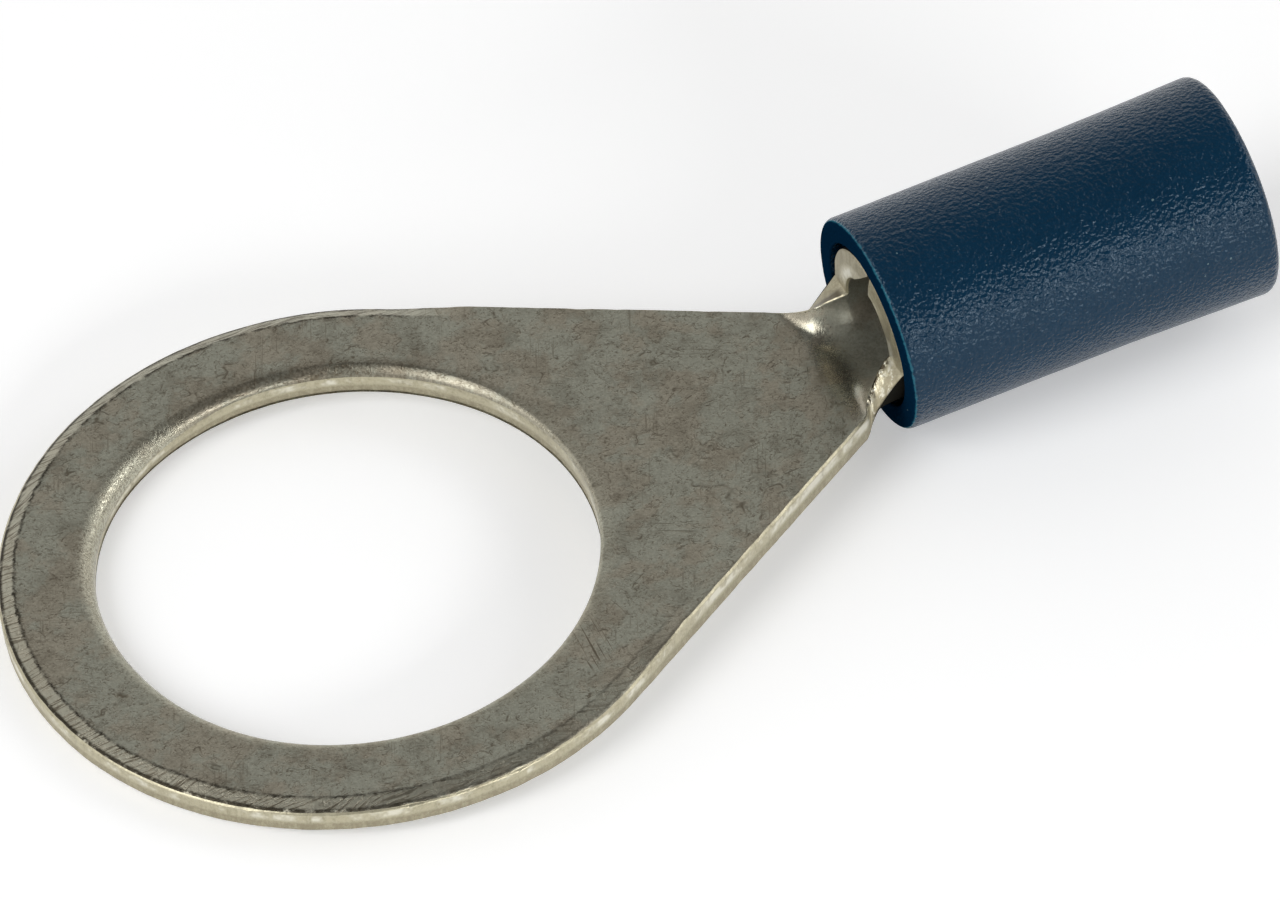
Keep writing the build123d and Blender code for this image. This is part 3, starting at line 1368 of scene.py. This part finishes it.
    def edges(self, links: Links, place: Value, colour: Value) -> tuple[Value, Value, Value]:
        """Adds the scraped rim and the worn roll of the stud hole, partly painted sheen and shade.

        Args:
            links: the material's nodes.
            place: place on the object in millimetres.
            colour: colour of the flat sheet.

        Returns:
            The colour, the mask of the marks in it and the mask of the polished, brightened wear.
        """
        rim = ScrapedRim().place(
            links, place, links.stored("rim_gap"), links.stored("scraped"), self.rim_width
        )
        gap, wear = links.stored("hole_gap"), links.stored("hole_wear")
        speckle = links.noise(place, 13.0, rough=0.7).ramp(0.38, 0.56)
        reach = speckle * 0.3 + 0.35
        # Painted highlight: the roll is made lighter where it is worn and where the lamps' highlight lies on
        # it.
        worn_and_sheen = gap.ramp(reach, reach * 0.4) * wear
        pitted = gap.ramp(0.75, 0.15) * wear * (1.0 - speckle)
        # Dirt and painted shade: the top of the hole's roll is darkened.
        darkened = gap.ramp(0.55, 0.3) * links.stored("hole_dirt") * (0.95 - speckle * 0.5)
        colour = links.coated(
            colour,
            (rim["Band"] * self.rim_share, self.rim),
            (rim["Marks"] * self.scrape_share, self.stain),
            (rim["Lines"] * self.line_share, self.dirt),
            (worn_and_sheen * self.worn_and_sheen_share, self.worn_and_sheen),
            (pitted * self.pitted_share, self.stain),
            (darkened, self.stain),
        )
        return colour, rim["Marks"].most(pitted), worn_and_sheen


@dataclass(frozen=True)
class ShearedFace(Finish):
    """Bright sheared edge of the sheet, burnished above and torn below, with painted glints and shade."""

    name: str = "sheared_edge"
    light: tuple = (0.525, 0.486, 0.348, 1.0)
    dark: tuple = (0.33, 0.295, 0.205, 1.0)
    # Dark colour of dirt specks and of the pits, and the painted shade of the far cheek's hollow.
    dirt: tuple = (0.10, 0.08, 0.05, 1.0)
    glint: tuple = (0.85, 0.83, 0.72, 1.0)
    metal: float = 0.8
    roughness: float = 0.36
    relief: float = 0.016
    bump: float = 0.7
    burnish_glint_share: float = 0.75
    hollow_shade_share: float = 0.9

    def looks(self, links: Links, place: Value) -> dict:
        """Works out the shader's inputs.

        Args:
            links: the material's nodes.
            place: place on the object in millimetres.

        Returns:
            The inputs by name.
        """
        depth, ragged = links.stored("depth"), links.stored("torn")
        streaks = links.vector("MULTIPLY", place, (1.0, 1.0, 0.25))
        streaks = links.noise(streaks, 6.0, detail=4.0, rough=0.7)
        flecks = links.noise(place, 14.0, rough=0.7)
        patches = links.noise(place, 0.7, detail=4.0, rough=0.7)
        pits = links.noise(place, 9.0, rough=0.6)
        fractured = (streaks * 0.35 + depth).ramp(0.6, 0.78)
        tone = streaks * 1.3 + (flecks * 1.2 - 0.72) - fractured * 0.36
        # Painted highlight: the burnished band below the top edge takes the glint colour.
        burnish_glint = depth.ramp(0.06, 0.14) * depth.ramp(0.5, 0.3) * patches.ramp(0.47, 0.6)
        # Darker in patches near the top of the cut face.
        darkened = depth.ramp(0.3, 0.05) * patches.ramp(0.48, 0.38) * streaks.ramp(0.42, 0.56)
        pitted = ragged * depth.ramp(0.35, 0.15)
        cheek = ragged * depth.ramp(0.15, 0.4)
        # Painted shade: the hollow along the far cheek's cut face is painted dark.
        groove = depth.ramp(0.03, 0.1) * depth.ramp(streaks * 0.5 + 0.4, 0.28)
        # The glint colour is a painted highlight, on the burnished band, in the torn pits and on the torn
        # cheek.
        colour = links.coated(
            links.mix(tone.ramp(-0.1, 0.75), self.dark, self.light),
            (flecks.ramp(0.62, 0.72) * (fractured * 0.5 + 0.2), self.dirt),
            (burnish_glint * self.burnish_glint_share, self.glint),
            (darkened, self.dark),
            (pitted * pits.ramp(0.45, 0.5), self.dirt),
            (pitted * pits.ramp(0.42, 0.36), self.glint),
            (cheek * streaks.ramp(0.46, 0.56), self.dark),
            (cheek * 0.5 * streaks.ramp(0.45, 0.38), self.glint),
            (groove * (links.stored("hollow") * self.hollow_shade_share), self.dirt),
        )
        return {
            "Base Color": colour,
            "Metallic": self.metal,
            "Roughness": fractured * 0.14 + self.roughness,
            "Normal": links.bump(streaks + flecks * 0.5, self.bump, self.relief),
        }


@dataclass(frozen=True)
class MouldedPlastic(Finish):
    """Dark blue moulded plastic with a fine orange-peel grain and a paler front edge."""

    name: str = "dark_blue_plastic"
    deep: tuple = (0.0018, 0.0190, 0.044, 1.0)
    pale: tuple = (0.0032, 0.0285, 0.063, 1.0)
    edge: tuple = (0.022, 0.140, 0.200, 1.0)
    shaded: tuple = (0.0012, 0.014, 0.036, 1.0)
    fleck: tuple = (0.11, 0.17, 0.19, 1.0)
    sheen: tuple = (0.72, 0.88, 1.0, 1.0)
    roughness: float = 0.175
    gloss: float = 0.31
    edge_share: float = 0.75
    wrinkles_per_mm: float = 9.3
    wrinkle_depth: float = 0.057

    def looks(self, links: Links, place: Value) -> dict:
        """Works out the shader's inputs.

        Args:
            links: the material's nodes.
            place: place on the object in millimetres.

        Returns:
            The inputs by name.
        """
        mottle = Mottle().place(links, place, 0.5, 6.0)
        grain = mottle["Grain"]
        ragged = (grain * 0.8 + (links.stored("front") - 1.0)).ramp(0.1, 0.4)
        colour = links.coated(
            links.mix(mottle["Cloud"], self.deep, self.pale),
            (links.stored("end_face"), self.shaded),
            (ragged * self.edge_share, self.edge),
            (links.noise(place, 5.0, detail=1.0).ramp(0.78, 0.8), self.fleck),
        )
        wrinkles = links.noise(place, self.wrinkles_per_mm, detail=1.2, rough=0.45)
        return {
            "Base Color": colour,
            "Roughness": grain * 0.12 + self.roughness,
            "Specular IOR Level": self.gloss,
            "Specular Tint": self.sheen,
            "Normal": links.bump(wrinkles, 1.0, self.wrinkle_depth),
        }


@dataclass
class Studio:
    """Pale floor, soft lamps and the camera of the photograph.

    Lengths are millimetres and turns radians. A lamp holds its name, place, size and glow.
    """

    azimuth: float = -0.3526
    elevation: float = 0.8011
    roll: float = 0.1141
    frame_width: float = 32.556
    centre: tuple = (8.3959, 0.3899, 0.0)
    lens: float = 1000.0
    sensor: float = 36.0
    floor_size: float = 4000.0
    rest_tip: float = -8.875
    rest_heel: float = 14.92
    rest_drop: float = -1.22
    pale: tuple = (0.9, 0.9, 0.9, 1.0)
    floor_roughness: float = 0.9
    floor_glow: float = 0.3
    zenith: tuple = (0.07, 0.07, 0.07, 1.0)
    dusk: float = 0.35
    front_shade: float = 0.6
    lamps: tuple = (
        ("left_softbox", (-250.0, -60.0, 245.0), (215.0, 215.0), 4.2),
        ("right_softbox", (330.0, -60.0, 150.0), (150.0, 150.0), 3.0),
        ("front_softbox", (95.0, -380.0, 120.0), (320.0, 60.0), 12.0),
    )

    def axes(self) -> tuple[Vector, Vector, Vector]:
        """Works out how the camera is turned.

        Returns:
            Its right, up and back directions.
        """
        az, el = self.azimuth, self.elevation
        back = Vector((math.sin(az) * math.cos(el), -math.cos(az) * math.cos(el), math.sin(el)))
        level = Vector((math.cos(az), math.sin(az), 0.0))
        right = level * math.cos(self.roll) - back.cross(level) * math.sin(self.roll)
        return right, back.cross(right), back

    def camera(self) -> None:
        """Adds the camera at the photograph's view of the terminal."""
        right, up, back = self.axes()
        data = bpy.data.cameras.new("camera")
        data.lens, data.sensor_width = self.lens, self.sensor
        distance = self.frame_width * MM * self.lens / self.sensor
        data.clip_start, data.clip_end = 0.1 * distance, 10 * distance
        made = new_object("camera", data)
        turn = Matrix((right, up, back)).transposed().to_4x4()
        made.matrix_world = Matrix.Translation(Vector(self.centre) * MM + back * distance) @ turn
        bpy.context.scene.camera = made

    def floor(self) -> None:
        """Adds the floor, under the ring's tip and the front of the sleeve."""
        half = self.floor_size * MM / 2
        mesh = bpy.data.meshes.new("floor")
        corners = [(-half, -half, 0), (half, -half, 0), (half, half, 0), (-half, half, 0)]
        mesh.from_pydata(corners, [], [(0, 1, 2, 3)])
        mesh.materials.append(self.floor_material())
        made = new_object("floor", mesh)
        made.location = (self.rest_tip * MM, 0, 0)
        made.rotation_euler = (0, math.atan2(-self.rest_drop, self.rest_heel - self.rest_tip), 0)

    def floor_material(self) -> bpy.types.Material:
        """Pale floor that shows white, keeps the shadow and is clear from below.

        Returns:
            The material.
        """
        made, links, shader = new_material("pale_floor")
        path = links.node("LightPath")
        seen = path["Is Camera Ray"].most(path["Is Glossy Ray"]).most(path["Is Transmission Ray"])
        looks = {"Base Color": self.pale, "Roughness": self.floor_roughness, "Emission Color": WHITE}
        links.give(shader, looks | {"Emission Strength": seen * self.floor_glow})
        under = links.node("NewGeometry")["Backfacing"]
        clear = links.node("BsdfTransparent")[0]
        both = links.node("MixShader", {0: under, 1: links.outputs(shader)[0], 2: clear})[0]
        links.give(made.node_tree.nodes["Material Output"], {"Surface": both})
        return made

    def world(self) -> None:
        """Lights the scene with a soft sky, darker above and above the front than at the horizon."""
        made = bpy.data.worlds.new("studio")
        bpy.context.scene.world = made
        made.use_nodes = True
        links = Links(made.node_tree)
        parts = links.node("SeparateXYZ", {0: links.node("TexCoord")["Generated"]})
        height = (parts["Y"] * -1.0).most(0.0) * self.front_shade + parts["Z"]
        colour = links.mix(height.ramp(self.dusk, 1.0), self.pale, self.zenith)
        links.give(made.node_tree.nodes["Background"], {"Color": colour})

    def lamp(self, name: str, place: tuple, size: tuple, glow: float) -> None:
        """Adds a soft lamp that faces the terminal.

        Args:
            name: the lamp's name.
            place: where it hangs.
            size: its width and height.
            glow: how bright its face is, where 1 is white.
        """
        data = bpy.data.lights.new(name, "AREA")
        data.shape = "RECTANGLE"
        data.size, data.size_y = size[0] * MM, size[1] * MM
        data.energy = glow * math.pi * data.size * data.size_y
        made = new_object(name, data)
        made.visible_camera = False
        made.location = Vector(place) * MM
        aim = Vector(self.centre) * MM - made.location
        made.rotation_euler = aim.to_track_quat("-Z", "Y").to_euler()

    def build(self) -> None:
        """Sets up camera, floor, world and lamps, and the plain view."""
        self.camera()
        self.floor()
        self.world()
        for lamp in self.lamps:
            self.lamp(*lamp)
        bpy.context.scene.view_settings.view_transform = "Standard"


def main() -> None:
    """Builds the terminal and the studio, and reports each piece."""
    logging.basicConfig(level=logging.INFO, format="%(name)s: %(message)s")
    sizes = FrameSizes.read()
    LOG.info("sizes from the frame: %s", sizes)
    metal = StampedTerminal(sizes).build()
    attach(metal, "root")
    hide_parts("terminal_body")
    LOG.info("%s: %d faces", metal.name, len(metal.data.polygons))
    sleeve = InsulatingSleeve(sizes).build()
    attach(sleeve, "root")
    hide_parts("insulating_sleeve")
    LOG.info("%s: %d faces", sleeve.name, len(sleeve.data.polygons))
    Studio().build()


if __name__ == "__main__":
    main()
